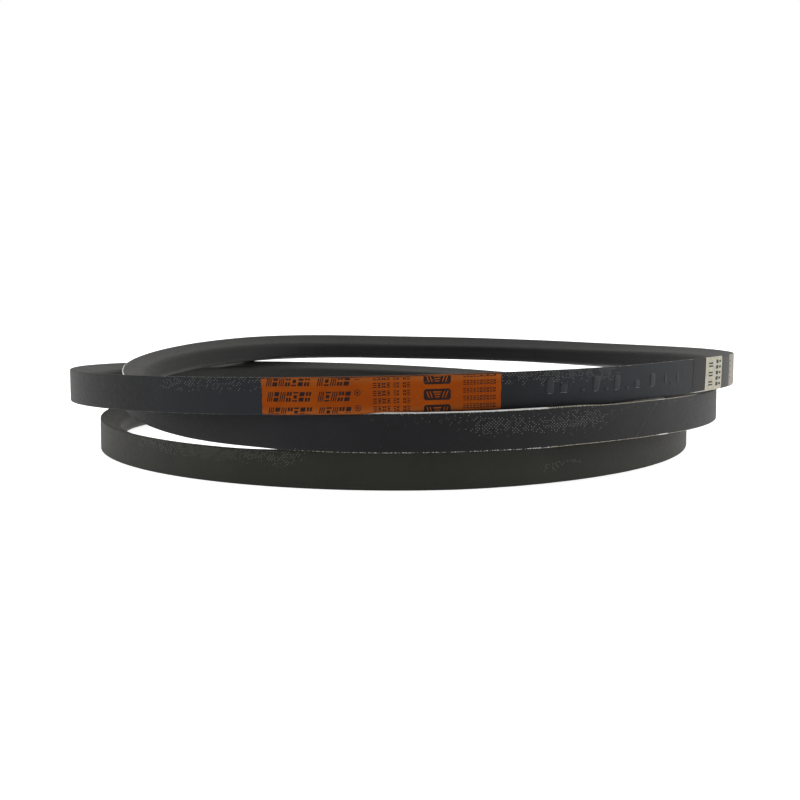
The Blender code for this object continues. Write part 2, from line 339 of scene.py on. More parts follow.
def belt_material():
    k = node_kit("wrapped_cover")
    M, S = k["math"], k["step"]
    tint = k["attr"]("tint").outputs["Color"]
    fray_top = k["attr"]("fray_top").outputs["Fac"]
    fray_low = k["attr"]("fray_low").outputs["Fac"]
    speck_on = k["attr"]("speck").outputs["Fac"]
    h = weave(k)
    # number of the thread crossing each place belongs to
    cell = k["combine"](M("ROUND", M("DIVIDE", M("ADD", k["u"], k["v"]), PITCH)), M("ROUND", M("DIVIDE", M("SUBTRACT", k["u"], k["v"]), PITCH)))
    rnd = k["white"](cell)
    uv = k["uv"]
    broad = k["noise"](uv, 0.035, 3.0, 0.6)
    mid = k["noise"](uv, 0.35, 4.0, 0.6)
    fine = k["noise"](uv, 3.2, 2.0, 0.6)
    d_top = M("ABSOLUTE", M("SUBTRACT", k["v"], V_TOP))
    d_low = M("ABSOLUTE", M("SUBTRACT", k["v"], V_LOW))
    near = M("MINIMUM", d_top, d_low)
    # colour: dark rubbered cloth, a little paler or darker in random patches, times the tint attribute, which carries
    # painted light and shade along the belt
    shade = M("ADD", 0.70, M("MULTIPLY", broad, 0.50))
    shade = M("ADD", shade, M("MULTIPLY", M("SUBTRACT", mid, 0.5), 0.24))
    shade = M("ADD", shade, M("MULTIPLY", M("SUBTRACT", fine, 0.5), 0.30))
    base = k["mix"](1.0, tint, k["combine"](shade, shade, shade), "MULTIPLY")
    # bare thread crossings: pale dots, thick in patches and along the corners
    crossing = S(h, 0.42, 0.82)
    cloud = M("ADD", 0.60, M("MULTIPLY", S(k["noise"](uv, 0.16, 3.0, 0.6), 0.34, 0.62), 0.50))
    patch = M("MULTIPLY", cloud, speck_on)
    rim = M("MULTIPLY", M("SUBTRACT", 1.0, S(near, 0.3, 2.2)), M("MULTIPLY", S(mid, 0.50, 0.72), 0.16))
    dense = M("ADD", M("ADD", patch, rim), 0.004)
    lit_up = S(M("SUBTRACT", dense, M("MULTIPLY", rnd, 0.92)), 0.0, 0.22)
    dots = M("MULTIPLY", M("MULTIPLY", crossing, lit_up), M("ADD", 0.35, M("MULTIPLY", fine, 0.8)), clamp=True)
    base = k["mix"](M("MULTIPLY", dots, 0.85), base, (0.175, 0.172, 0.150))
    # dust specks
    grit = S(k["noise"](uv, 1.9, 1.0, 0.4), 0.80, 0.84)
    base = k["mix"](M("MULTIPLY", grit, 0.45), base, (0.20, 0.19, 0.17))
    # frayed corners: unbroken where the attribute is near one, in short runs where it is less
    patchy = k["noise"](uv, 0.9, 3.0, 0.65)

    def frayed(dist, amount, wide):
        on = S(M("ADD", patchy, M("MULTIPLY", amount, 0.62)), 0.62, 0.80)
        reach = M("MULTIPLY", on, M("ADD", 0.18, M("MULTIPLY", M("MULTIPLY", fine, amount), wide)))
        edge = M("SUBTRACT", 1.0, S(M("DIVIDE", dist, M("MAXIMUM", reach, 0.001)), 0.7, 1.15))
        ragged = S(k["noise"](uv, 1.7, 2.0, 0.7), 0.36, 0.60)
        ragged = M("MAXIMUM", ragged, S(amount, 0.70, 0.95))
        return M("MULTIPLY", M("MULTIPLY", edge, ragged), S(amount, 0.02, 0.30))

    f_top = frayed(d_top, fray_top, 0.50)
    f_low = frayed(d_low, fray_low, 0.5)
    white = S(M("MAXIMUM", fray_top, fray_low), 0.75, 1.0)
    fray_col = k["mix"](white, (0.36, 0.335, 0.26), (0.56, 0.555, 0.54))
    tone = M("ADD", 0.62, M("MULTIPLY", fine, 0.75))
    fray_col = k["mix"](1.0, fray_col, k["combine"](tone, tone, tone), "MULTIPLY")
    base = k["mix"](M("MAXIMUM", f_top, f_low), base, fray_col)
    k["val"](base, k["bsdf"].inputs["Base Color"])
    rough = M("ADD", 0.52, M("MULTIPLY", mid, 0.20))
    k["val"](rough, k["bsdf"].inputs["Roughness"])
    k["bsdf"].inputs["Specular IOR Level"].default_value = 0.15
    k["bsdf"].inputs["Sheen Weight"].default_value = 0.05
    k["bsdf"].inputs["Sheen Roughness"].default_value = 0.45
    k["bsdf"].inputs["Sheen Tint"].default_value = (1.0, 0.97, 0.90, 1.0)
    n1 = k["bump"](h, 0.35, 0.00010)
    n2 = k["bump"](fine, 0.35, 0.00010, n1)
    n3 = k["bump"](mid, 0.40, 0.00040, n2)
    k["val"](n3, k["bsdf"].inputs["Normal"])
    return k["m"]


def label_material():
    k = node_kit("orange_transfer")
    M, S = k["math"], k["step"]
    broad = k["noise"](k["uv"], 0.06, 3.0, 0.6)
    mid = k["noise"](k["uv"], 0.5, 4.0, 0.6)
    fine = k["noise"](k["uv"], 3.0, 3.0, 0.6)
    h = weave(k)
    col = k["mix"](S(broad, 0.3, 0.7), (0.215, 0.037, 0.0004), (0.250, 0.049, 0.0012))
    edge = M("SUBTRACT", 1.0, S(M("MINIMUM", M("ABSOLUTE", M("SUBTRACT", k["v"], V_TOP)), M("ABSOLUTE", M("SUBTRACT", k["v"], V_LOW))), 0.6, 4.5))
    col = k["mix"](M("MULTIPLY", edge, 0.55), col, (0.26, 0.080, 0.018))
    thin = M("MULTIPLY", S(h, 0.55, 0.95), S(mid, 0.5, 0.75))
    col = k["mix"](M("MULTIPLY", thin, 0.20), col, (0.14, 0.035, 0.010))
    worn = M("MULTIPLY", S(fine, 0.60, 0.72), M("SUBTRACT", 1.0, S(M("MINIMUM", M("ABSOLUTE", M("SUBTRACT", k["v"], V_TOP)), M("ABSOLUTE", M("SUBTRACT", k["v"], V_LOW))), 0.2, 1.2)))
    col = k["mix"](M("MULTIPLY", worn, 0.7), col, (0.06, 0.035, 0.02))
    k["val"](col, k["bsdf"].inputs["Base Color"])
    k["val"](M("ADD", 0.56, M("MULTIPLY", mid, 0.15)), k["bsdf"].inputs["Roughness"])
    k["bsdf"].inputs["Specular IOR Level"].default_value = 0.06
    k["val"](k["bump"](mid, 0.3, 0.0003, k["bump"](h, 0.22, 0.00008)), k["bsdf"].inputs["Normal"])
    return k["m"]


def ink_material(name, colour, spread=0.35):
    k = node_kit(name)
    M = k["math"]
    mid = k["noise"](k["obj"], 900.0, 3.0, 0.6)
    wear = k["noise"](k["obj"], 260.0, 3.0, 0.6)
    f = M("ADD", 1.0 - spread / 2, M("MULTIPLY", M("SUBTRACT", mid, 0.5), spread))
    col = k["mix"](1.0, colour, k["combine"](f, f, f), "MULTIPLY")
    col = k["mix"](k["step"](wear, 0.60, 0.75), col, tuple(min(1.0, c * 1.9 + 0.012) for c in colour))
    k["val"](col, k["bsdf"].inputs["Base Color"])
    k["val"](M("ADD", 0.5, M("MULTIPLY", mid, 0.2)), k["bsdf"].inputs["Roughness"])
    k["bsdf"].inputs["Specular IOR Level"].default_value = 0.08
    k["val"](k["bump"](mid, 0.25, 0.0001), k["bsdf"].inputs["Normal"])
    return k["m"]


def film_material(name, dark, light, rough):
    k = node_kit(name)
    M, S = k["math"], k["step"]
    mid = k["noise"](k["uv"], 0.35, 4.0, 0.6)
    fine = k["noise"](k["uv"], 2.6, 3.0, 0.6)
    col = k["mix"](S(mid, 0.35, 0.7), dark, light)
    col = k["mix"](M("MULTIPLY", S(fine, 0.62, 0.72), 0.35), col, tuple(min(1.0, c * 1.5 + 0.01) for c in light))
    k["val"](col, k["bsdf"].inputs["Base Color"])
    k["val"](M("ADD", rough, M("MULTIPLY", mid, 0.15)), k["bsdf"].inputs["Roughness"])
    k["bsdf"].inputs["Specular IOR Level"].default_value = 0.2
    k["val"](k["bump"](mid, 0.3, 0.0003, k["bump"](fine, 0.2, 0.00006)), k["bsdf"].inputs["Normal"])
    return k["m"]


def floor_material():
    k = node_kit("studio_floor")
    M = k["math"]
    mid = k["noise"](k["obj"], 6.0, 3.0, 0.5)
    f = M("ADD", 0.50, M("MULTIPLY", mid, 0.02))
    k["val"](k["combine"](f, f, f), k["bsdf"].inputs["Base Color"])
    k["bsdf"].inputs["Emission Color"].default_value = (1.0, 1.0, 1.0, 1.0)
    k["bsdf"].inputs["Emission Strength"].default_value = 0.86
    k["bsdf"].inputs["Roughness"].default_value = 0.85
    k["bsdf"].inputs["Specular IOR Level"].default_value = 0.1
    return k["m"]


BELT = belt_material()
LABEL = label_material()
# painted shade: the raised pads are coloured darker than the cover, standing in for the shade inside recessed marks
PAD_PAINTED_SHADE = film_material("raised_pad_painted_shade", (0.0062, 0.0070, 0.0090), (0.0085, 0.0094, 0.0120), 0.48)
PAD_PAINTED_SHADE.node_tree.nodes["Principled BSDF"].inputs["Specular IOR Level"].default_value = 0.30
# painted highlight: pale bluish glossy strips laid along the marks' lower edges as their glints
GLINT_PAINT = film_material("painted_glint", (0.055, 0.062, 0.078), (0.17, 0.19, 0.23), 0.22)
INK = ink_material("label_ink", (0.022, 0.010, 0.008))
PALE = film_material("code_panel_white", (0.27, 0.255, 0.20), (0.36, 0.345, 0.275), 0.50)
BAND = film_material("code_panel_end", (0.165, 0.152, 0.126), (0.235, 0.220, 0.184), 0.55)
GREY = film_material("code_panel_grey", (0.026, 0.026, 0.023), (0.036, 0.036, 0.032), 0.55)
FILM = film_material("code_film", (0.0085, 0.0088, 0.009), (0.012, 0.012, 0.012), 0.55)
CODE_INK = ink_material("code_ink", (0.030, 0.030, 0.028))

COLL = bpy.data.collections.new("v_belt_look")
bpy.context.scene.collection.children.link(COLL)


def add_mesh(name, verts, faces, mat, uvs=None, smooth=True, sharp=50.0):
    me = bpy.data.meshes.new(name)
    me.from_pydata([tuple(map(float, v)) for v in verts], [], faces)
    if uvs is not None:
        layer = me.uv_layers.new(name="UVMap")
        flat = np.array(uvs, np.float32).reshape(-1)
        layer.data.foreach_set("uv", flat)
    me.update()
    me.materials.append(mat)
    bm = bmesh.new()
    bm.from_mesh(me)
    bmesh.ops.recalc_face_normals(bm, faces=bm.faces)
    bm.to_mesh(me)
    bm.free()
    for p in me.polygons:
        p.use_smooth = smooth
    if smooth:
        me.set_sharp_from_angle(angle=math.radians(sharp))
    o = bpy.data.objects.new(name, me)
    COLL.objects.link(o)
    return o


# ------------------------------------------------------------------ the belt skin
# painted light and shade: the one cover gets a different tint on each half turn, darker or lighter as that half turn is
# lit, and the upper front's bluish cast is a painted reflection
SHADED_TINTS = [  # by half turn: upper front, upper back, middle front, lower back, lower front, middle back
    (0.0098, 0.0112, 0.0140), (0.0135, 0.0135, 0.0132), (0.0112, 0.0115, 0.0128),
    (0.0108, 0.0104, 0.0092), (0.0170, 0.0170, 0.0134), (0.0150, 0.0148, 0.0128)]
PAINTED_LIGHT_STRETCHES = [  # painted light and shade: stretches painted a little paler (above 1) or darker than the rest, where the belt is more or less lit: from, to, how much
    (0.02, 0.24, 0.68), (0.17, 0.23, 0.74), (0.35, 0.40, 1.18), (0.58, 0.60, 0.78), (0.62, 0.74, 1.28),
    (1.62, 1.94, 0.74), (2.12, 2.22, 0.92), (2.30, 2.40, 1.30), (2.76, 3.05, 1.42),
    (3.50, 3.84, 0.50), (3.88, 4.06, 0.64), (4.22, 4.62, 1.32), (5.30, 5.45, 0.88), (5.76, 5.96, 1.40), (5.90, 6.20, 1.22), (-0.20, 0.02, 1.22)]


def tint_at(s):
    x = s - 0.5
    k = math.floor(x)
    f = x - k
    f = f * f * (3 - 2 * f)
    a, b = SHADED_TINTS[k % 6], SHADED_TINTS[(k + 1) % 6]
    gain = 1.0
    # painted light and shade: the listed stretches brighten or darken the tint
    for lo, hi, much in PAINTED_LIGHT_STRETCHES:
        gain *= 1.0 + (much - 1.0) * bump(s % 6.0, lo, hi, 0.06)
    return [(a[i] * (1 - f) + b[i] * f) * gain for i in range(3)]


def fray_top_at(s):
    s = s % 6.0
    mid = max(bump(s, 2.455, 2.600, 0.035) * 1.05, bump(s, 2.60, 2.800, 0.03) * 0.62)
    low = bump(s, 4.464, 4.880, 0.03) * 0.25
    end = bump(s, 1.94, 2.10, 0.02) * 0.9
    upper = max(bump(s, 0.30, 0.37, 0.03) * 0.16, bump(s, 0.59, 0.77, 0.03) * 0.20)
    return max(mid, low, end, upper)


def fray_low_at(s):
    s = s % 6.0
    mid = max(bump(s, 2.400, 2.600, 0.04) * 0.30, bump(s, 2.600, 2.810, 0.03) * 0.50, bump(s, 2.736, 2.752, 0.006) * 1.0)
    return max(mid, bump(s, 0.27, 0.34, 0.03) * 0.22, bump(s, 0.59, 0.72, 0.03) * 0.25, bump(s, 0.775, 0.799, 0.004) * 0.9,
               bump(s, 4.55, 4.75, 0.05) * 0.2)


def up_at(s):
    """How far the upper corner is squeezed up toward the turn above (mm)."""
    s = s % 6.0
    return bump(s, 2.465, 2.640, 0.03) * 0.62 + bump(s, 2.590, 2.660, 0.035) * 0.22 + bump(s, 4.400, 4.630, 0.04) * 0.60


def down_at(s):
    """How far the lower corner is pressed down toward the turn below (mm)."""
    s = s % 6.0
    return bump(s, 0.580, 0.665, 0.035) * 0.62 + bump(s, 2.380, 2.600, 0.04) * 0.50


def speck_at(s, y):
    """How thick the bare thread crossings lie at s, y mm above mid width (only on the back)."""
    s = s % 6.0
    high = min(max((y - 0.5) / 5.0, 0.0), 1.0)
    band = math.exp(-((y - 1.2) / 3.4) ** 2)
    mid = bump(s, 2.545, 2.655, 0.025) * band * 0.85 + bump(s, 2.46, 2.80, 0.03) * high * 0.22
    up = bump(s, 0.300, 0.384, 0.02) * high * 0.62 + bump(s, 0.578, 0.665, 0.02) * high * 0.80
    low = bump(s, 4.235, 4.411, 0.02) * high * 0.80 + bump(s, 4.636, 4.68, 0.006) * math.exp(-((y + 1.5 - (s - 4.636) * 60) / 1.6) ** 2) * 0.55
    return max(mid + up + low, 0.015)


STATIONS = 168


def skin(name, s0, s1):
    n = int(round((s1 - s0) * STATIONS))
    K = len(PTS)
    ss = [s0 + (s1 - s0) * i / n for i in range(n + 1)]
    verts, tint, ft, fl, sp = [], [], [], [], []
    for s in ss:
        c, nn, b, _ = placed(s)
        run = run_at(s % 6.0)
        top, low = fray_top_at(s), fray_low_at(s)
        for j in range(K):
            p, q = PTS[j]
            # low unevenness of the cover, and threads standing proud where a corner is frayed
            w = 0.040 * noise.noise(Vector((run * 0.11, DIST[j] * 0.35, 3.0)))
            near_top = max(0.0, 1 - abs(DIST[j] - V_TOP) / 0.9)
            near_low = max(0.0, 1 - abs(DIST[j] - V_LOW) / 0.9)
            w += 0.16 * near_top * min(top, 1.0) * (0.4 + noise.noise(Vector((run * 0.6, 5.0, 0.0))))
            w += 0.16 * near_low * min(low, 1.0) * (0.4 + noise.noise(Vector((run * 0.6, 9.0, 0.0))))
            lift = near_top * up_at(s) - near_low * down_at(s)
            verts.append((c + (p + w * NOR[j, 0]) * nn + (q + w * NOR[j, 1] + lift) * b) * MM)
            tint.extend((*tint_at(s), 1.0))
            ft.append(top)
            fl.append(low)
            sp.append(speck_at(s, q) if p > DEEP - 0.6 else 0.01)
    faces, uvs = [], []
    vs = list(DIST) + [ROUND]
    for i in range(n):
        u0, u1 = run_at(ss[i]), run_at(ss[i + 1])
        for j in range(K):
            m = (j + 1) % K
            faces.append((i * K + j, i * K + m, (i + 1) * K + m, (i + 1) * K + j))
            uvs += [(u0, vs[j]), (u0, vs[j + 1]), (u1, vs[j + 1]), (u1, vs[j])]
    faces.append(tuple(range(K)))
    uvs += [(run_at(s0), vs[j]) for j in range(K)]
    faces.append(tuple(n * K + j for j in range(K)))
    uvs += [(run_at(s1), vs[j]) for j in range(K)]
    me = bpy.data.meshes.new(name)
    me.from_pydata([tuple(v) for v in verts], [], faces)
    me.uv_layers.new(name="UVMap").data.foreach_set("uv", np.array(uvs, np.float32).reshape(-1))
    for nm, data in (("fray_top", ft), ("fray_low", fl), ("speck", sp)):
        me.attributes.new(nm, "FLOAT", "POINT").data.foreach_set("value", np.array(data, np.float32))
    me.attributes.new("tint", "FLOAT_COLOR", "POINT").data.foreach_set("color", np.array(tint, np.float32))
    bm = bmesh.new()
    bm.from_mesh(me)
    bmesh.ops.recalc_face_normals(bm, faces=bm.faces)
    bm.to_mesh(me)
    bm.free()
    me.materials.append(BELT)
    for p in me.polygons:
        p.use_smooth = True
    me.set_sharp_from_angle(angle=math.radians(50))
    o = bpy.data.objects.new(name, me)
    COLL.objects.link(o)
    return o


LAYERS = ["cover_outer", "cover_inner", "tension_rubber", "cushion_upper", "cushion_lower", "compression_core"]
LAYERS += [f"cord_{k}" for k in range(1, 9)]


def run_nodes(run):
    return [f"{run}_{layer}" for layer in LAYERS]


tl = skin("belt_upper_left", 5.5, 6.5)
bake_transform(tl)
tr = skin("belt_upper_right", 0.5, 1.5)
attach(tr, "upper_turn")
ml = skin("belt_middle_left", 1.5, 2.5)
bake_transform(ml)
mr = skin("belt_middle_right", 2.5, 3.5)
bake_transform(mr)
ll = skin("belt_lower_left", 3.5, 4.5)
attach(ll, "lower_turn")
lr = skin("belt_lower_right", 4.5, 5.5)
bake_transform(lr)
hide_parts(*run_nodes("upper"))
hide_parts(*run_nodes("mid_front"))
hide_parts(*run_nodes("mid_back"))
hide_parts(*run_nodes("lower"))


# ------------------------------------------------------------------ sheets and marks laid on the belt
def sheet(name, s0, s1, v0, v1, h0, h1, mat, du=2.0, dv=0.8, left=None, right=None):
    """Thin closed sheet following the skin between two running positions, with optional wavy ends (mm)."""
    r0, r1 = run_at(s0), run_at(s1)
    nu, nv = max(2, int((r1 - r0) / du)), max(2, int(abs(v1 - v0) / dv))
    verts, uv_of = [], []
    for h in (h0, h1):
        for i in range(nu + 1):
            for j in range(nv + 1):
                v = v0 + (v1 - v0) * j / nv
                a = r0 + (left(v) if left else 0.0)
                z = r1 + (right(v) if right else 0.0)
                r = a + (z - a) * i / nu
                edge = 0.0
                if h == h1 and (i in (0, nu) or j in (0, nv)):
                    edge = -(h1 - h0) * 0.45
                verts.append(on_belt(s_at(r), v, h + edge))
                uv_of.append((r, v))
    W = nv + 1
    L = (nu + 1) * W
    faces = []
    for i in range(nu):
        for j in range(nv):
            a = i * W + j
            faces.append((a, a + 1, a + W + 1, a + W))
            faces.append((L + a, L + a + W, L + a + W + 1, L + a + 1))
    for i in range(nu):
        for a in (i * W, i * W + nv):
            faces.append((a, a + W, L + a + W, L + a))
    for j in range(nv):
        for a in (j, nu * W + j):
            faces.append((a, a + 1, L + a + 1, L + a))
    uvs = [uv_of[i] for f in faces for i in f]
    return add_mesh(name, verts, faces, mat, uvs)


class Marks:
    """Flat printed marks collected into one mesh.  Positions are mm along the print and mm up from mid width."""

    def __init__(self, r0, h0, h1, low=-8.0, high=8.0):
        self.r0, self.h0, self.h1, self.low, self.high = r0, h0, h1, low, high
        self.verts, self.faces, self.uvs = [], [], []

    def poly(self, pts):
        """Closed prism over a polygon given in print coordinates."""
        base = len(self.verts)
        n = len(pts)
        for h in (self.h0, self.h1):
            for x, y in pts:
                self.verts.append(on_belt(s_at(self.r0 + x), V_MID + y, h))
        new = [tuple(base + n - 1 - i for i in range(n)), tuple(base + n + i for i in range(n))]
        for i in range(n):
            j = (i + 1) % n
            new.append((base + i, base + j, base + n + j, base + n + i))
        self.faces += new
        for f in new:
            self.uvs += [(self.r0 + pts[(i - base) % n][0], V_MID + pts[(i - base) % n][1]) for i in f]

    def bar(self, x0, x1, y0, y1, slant=0.0, mid=0.0):
        """Leaning block, cut off where it would pass the edge of the sheet."""
        y0, y1 = max(y0, self.low), min(y1, self.high)
        if y1 - y0 < 0.12:
            return
        def lean(y):
            return slant * (y - mid)
        self.poly([(x0 + lean(y0), y0), (x1 + lean(y0), y0), (x1 + lean(y1), y1), (x0 + lean(y1), y1)])

    def ring(self, x, y, r_out, r_in, sides=18, squash=1.0):
        for i in range(sides):
            a0, a1 = 2 * math.pi * i / sides, 2 * math.pi * (i + 1) / sides
            q = [(x + r_in * math.cos(a0), y + squash * r_in * math.sin(a0)), (x + r_out * math.cos(a0), y + squash * r_out * math.sin(a0)),
                 (x + r_out * math.cos(a1), y + squash * r_out * math.sin(a1)), (x + r_in * math.cos(a1), y + squash * r_in * math.sin(a1))]
            if all(self.low < p[1] < self.high for p in q):
                self.poly(q)

    def made(self, name, mat):
        return add_mesh(name, self.verts, self.faces, mat, self.uvs, smooth=False)


rng = random.Random(4)


def abstract_mark(marks, x, w, y0, y1, slant, mid, kind):
    """A pattern of leaning blocks in the space of one character; none of them is a letter or a figure."""
    h = y1 - y0

    def bar(fx0, fx1, fy0, fy1):
        marks.bar(x + w * fx0, x + w * fx1, y0 + h * fy0, y0 + h * fy1, slant, mid)

    if kind == 0:      # three level strokes
        for y in (0.0, 0.41, 0.82):
            bar(0.0, 1.0, y, y + 0.18)
    elif kind == 1:    # four squares
        for fx in (0.0, 0.58):
            for fy in (0.0, 0.60):
                bar(fx, fx + 0.42, fy, fy + 0.40)
    elif kind == 2:    # block between two level strokes
        bar(0.0, 1.0, 0.84, 1.0)
        bar(0.16, 0.84, 0.32, 0.68)
        bar(0.0, 1.0, 0.0, 0.16)
    elif kind == 3:    # hatch of three equal uprights
        for fx in (0.0, 0.40, 0.80):
            bar(fx, fx + 0.20, 0.0, 1.0)
    else:              # two wide blocks, one over the other
        bar(0.0, 1.0, 0.56, 1.0)
        bar(0.0, 1.0, 0.0, 0.42)


def words(marks, x0, x1, groups, y_mid, height, slant, gap, space, seed, kinds=(0, 1, 2, 3, 4)):
    """A line of abstract marks between x0 and x1; groups gives how many marks each cluster has."""
    total = sum(groups)
    pitch_w = (x1 - x0 - space * (len(groups) - 1)) / total
    x = x0
    r = random.Random(seed)
    last = -1
    for g in groups:
        for _ in range(g):
            kind = r.choice([k for k in kinds if k != last])
            last = kind
            abstract_mark(marks, x, pitch_w - gap, y_mid - height / 2, y_mid + height / 2, slant, y_mid, kind)
            x += pitch_w
        x += space


S_LABEL0, S_LABEL1 = 0.386, 0.571
R_LABEL = run_at(S_LABEL0)


def wavy(v):
    y = v - V_MID
    return 0.20 * math.sin(y * 0.33 + 0.6) + 0.12 * math.sin(y * 1.1) - 0.20 * math.exp(-((y - 8.0) / 2.0) ** 2)


label = sheet("size_label_print", S_LABEL0, S_LABEL1, V_LOW + 0.05, V_TOP - 0.05, 0.02, 0.11, LABEL, left=wavy,
              right=lambda v: 0.10 * math.sin((v - V_MID) * 0.9))
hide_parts("size_label")
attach(label, "upper_turn")

ink = Marks(R_LABEL, 0.06, 0.15, -7.9, 7.9)


def along(px):
    """Print coordinate in mm of a place given as a share of the label, 0 at its left end."""
    return px * (run_at(S_LABEL1) - R_LABEL)


# three rows of large leaning marks, the outer two cut by the label's edges
for row, y in enumerate((7.05 - 0.3, -0.3, -7.05 - 0.3)):
    words(ink, along(0.026), along(0.216), [7], y, 4.4, 0.24, 0.66, 0.0, 11)
    words(ink, along(0.243), along(0.380), [5], y, 4.4, 0.24, 0.66, 0.0, 12)
    ink.ring(along(0.404), y + 1.6, 1.42, 1.12)
    ink.ring(along(0.404), y + 1.6, 0.55, 0.10, 10)
# five rows of small upright marks
for row in range(5):
    y = 7.7 + 0.6 - 3.55 * row
    words(ink, along(0.468), along(0.542), [4], y - 0.4, 2.25, 0.0, 0.46, 0.0, 21, (0, 1, 2))
    words(ink, along(0.551), along(0.577), [2], y - 0.4, 2.25, 0.0, 0.42, 0.0, 22, (0, 1, 2))
    words(ink, along(0.590), along(0.622), [2], y - 0.4, 2.25, 0.0, 0.42, 0.0, 23, (0, 1, 2))
for row in range(5):
    y = 8.1 - 3.55 * row
    words(ink, along(0.838), along(0.980), [10], y, 2.05, 0.0, 0.40, 0.0, 31, (0, 1, 2))

# three dark rounded tablets, each with a pale V section and its two flank lines
for y in (6.75, -0.45, -7.65):
    x0, x1, hh, r = along(0.674), along(0.786), 2.55, 0.9
    cut = []
    for cx, cy, a0 in ((x1 - r, y + hh - r, 0), (x0 + r, y + hh - r, 90), (x0 + r, y - hh + r, 180), (x1 - r, y - hh + r, 270)):
        for a in (0, 30, 60, 90):
            cut.append((cx + r * math.cos(math.radians(a0 + a)), cy + r * math.sin(math.radians(a0 + a))))
    top, bot = min(7.9, y + hh), max(-7.9, y - hh)
    cut = [(px, min(max(py, bot), top)) for px, py in cut]
    clean = [cut[0]]
    for pnt in cut[1:]:
        if math.dist(pnt, clean[-1]) > 0.02:
            clean.append(pnt)
    # laid as upright slices so that it follows the belt's curve
    slices = 6
    for i in range(slices):
        a, z = x0 + (x1 - x0) * i / slices, x0 + (x1 - x0) * (i + 1) / slices

        def edge_y(x, sign):
            d = max(0.0, max(x0 + r - x, x - (x1 - r)))
            yy = hh - r + math.sqrt(max(0.0, r * r - d * d))
            return min(max(y + sign * yy, -7.9), 7.9)

        steps = [a + (z - a) * t / 3 for t in range(4)]
        pts = [(x, edge_y(x, -1)) for x in steps] + [(x, edge_y(x, 1)) for x in reversed(steps)]
        if abs(edge_y((a + z) / 2, 1) - edge_y((a + z) / 2, -1)) > 0.2:
            ink.poly(pts)
ink_obj = ink.made("size_label_marks", INK)
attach(ink_obj, "upper_turn")

icon = Marks(R_LABEL, 0.13, 0.19, -7.85, 7.85)
for y in (6.75, -0.45, -7.65):
    xm = along(0.730)
    for side in (-1, 1):
        for n in range(2):
            x = xm + side * (2.75 + 1.35 * n)
            icon.bar(x - 0.24, x + 0.24, y - 1.45, y + 1.45, side * 0.34, y)
    icon.bar(xm - 1.75, xm + 1.75, y + 0.85, y + 1.40, 0, y)
    icon.bar(xm - 1.35, xm + 1.35, y - 0.22, y + 0.28, 0, y)
    icon.bar(xm - 0.95, xm + 0.95, y - 1.35, y - 0.85, 0, y)
icon_obj = icon.made("size_label_icons", LABEL)
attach(icon_obj, "upper_turn")

# ------------------------------------------------------------------ code label at the right end of the upper front
film = sheet("code_film", 0.774, 0.940, V_LOW - 0.1, V_TOP + 0.1, 0.02, 0.13, FILM)
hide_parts("code_label")
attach(film, "upper_turn")
white = sheet("code_panel_white", 0.7979, 0.8397, V_LOW + 0.05, V_TOP - 0.05, 0.10, 0.20, PALE)
grey = sheet("code_panel_grey", 0.8403, 0.8700, V_LOW + 0.05, V_TOP - 0.05, 0.10, 0.17, GREY)
pale = sheet("code_panel_end", 0.8706, 0.9390, V_LOW + 0.05, V_TOP - 0.05, 0.10, 0.20, BAND)
for o in (white, grey, pale):
    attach(o, "upper_turn")
code = Marks(run_at(0.7979), 0.16, 0.235, -7.6, 7.6)
wide = run_at(0.8397) - run_at(0.7979)
for y in (5.4, 3.9, 0.6, -0.9, -4.2, -5.7):
    code.bar(wide * 0.16, wide * 0.38, y - 0.38, y + 0.38)
for y in (6.0, 3.1, 0.2, -2.7, -5.6):
    code.bar(wide * 0.58, wide * 0.72, y - 0.90, y + 0.90)
    code.bar(wide * 0.78, wide * 0.90, y - 0.55, y + 0.55)
code_obj = code.made("code_marks", CODE_INK)
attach(code_obj, "upper_turn")
end_code = Marks(run_at(0.8706), 0.16, 0.235, -7.6, 7.6)
for y in (5.2, 2.2, -0.8, -3.8):
    end_code.bar(2.0, 3.4, y - 0.5, y + 0.5)
end_obj = end_code.made("code_end_marks", CODE_INK)
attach(end_obj, "upper_turn")


# ------------------------------------------------------------------ raised marks moulded in the cover, with painted shade on the pads and painted glints along their lower edges
def raised(name, strokes, radius, body, mat, flat=0.62):
    """Rounded strokes half sunk in the skin; each stroke is a list of (s, y) places."""
    verts, faces, uvs = [], [], []
    sides = 8
    for stroke in strokes:
        closed = stroke[0] == stroke[-1] and len(stroke) > 3
        pts = stroke[:-1] if closed else stroke
        n = len(pts)
        base = len(verts)
        for i, (r, y) in enumerate(pts):
            pr, py = pts[(i - 1) % n] if (closed or i > 0) else pts[i]
            nr, ny = pts[(i + 1) % n] if (closed or i < n - 1) else pts[i]
            dr, dy = nr - pr, ny - py
            ln = math.hypot(dr, dy) or 1.0
            ox, oy = -dy / ln, dr / ln
            taper = 1.0 if closed or 0 < i < n - 1 else 0.7
            for k in range(sides):
                a = 2 * math.pi * k / sides
                w = radius * taper * math.cos(a)
                verts.append(on_belt(s_at(r + ox * w), V_MID + y + oy * w, radius * flat * taper * math.sin(a) + 0.02))
        count = n if closed else n - 1
        for i in range(count):
            j = (i + 1) % n
            for k in range(sides):
                m = (k + 1) % sides
                faces.append((base + i * sides + k, base + i * sides + m, base + j * sides + m, base + j * sides + k))
        if not closed:
            faces.append(tuple(base + k for k in range(sides)))
            faces.append(tuple(base + (n - 1) * sides + k for k in range(sides)))
    uvs = [(0.0, V_MID) for f in faces for _ in f]
    o = add_mesh(name, verts, faces, mat, uvs)
    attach(o, body)
    return o


def oval(x, y, rx, ry, a0=0, a1=360, n=18):
    return [(x + rx * math.cos(math.radians(a0 + (a1 - a0) * i / n)), y + ry * math.sin(math.radians(a0 + (a1 - a0) * i / n))) for i in range(n + 1)]


def line(x0, y0, x1, y1, n=5):
    return [(x0 + (x1 - x0) * i / n, y0 + (y1 - y0) * i / n) for i in range(n + 1)]


START, FINISH = run_at(0.6065), run_at(0.7535)


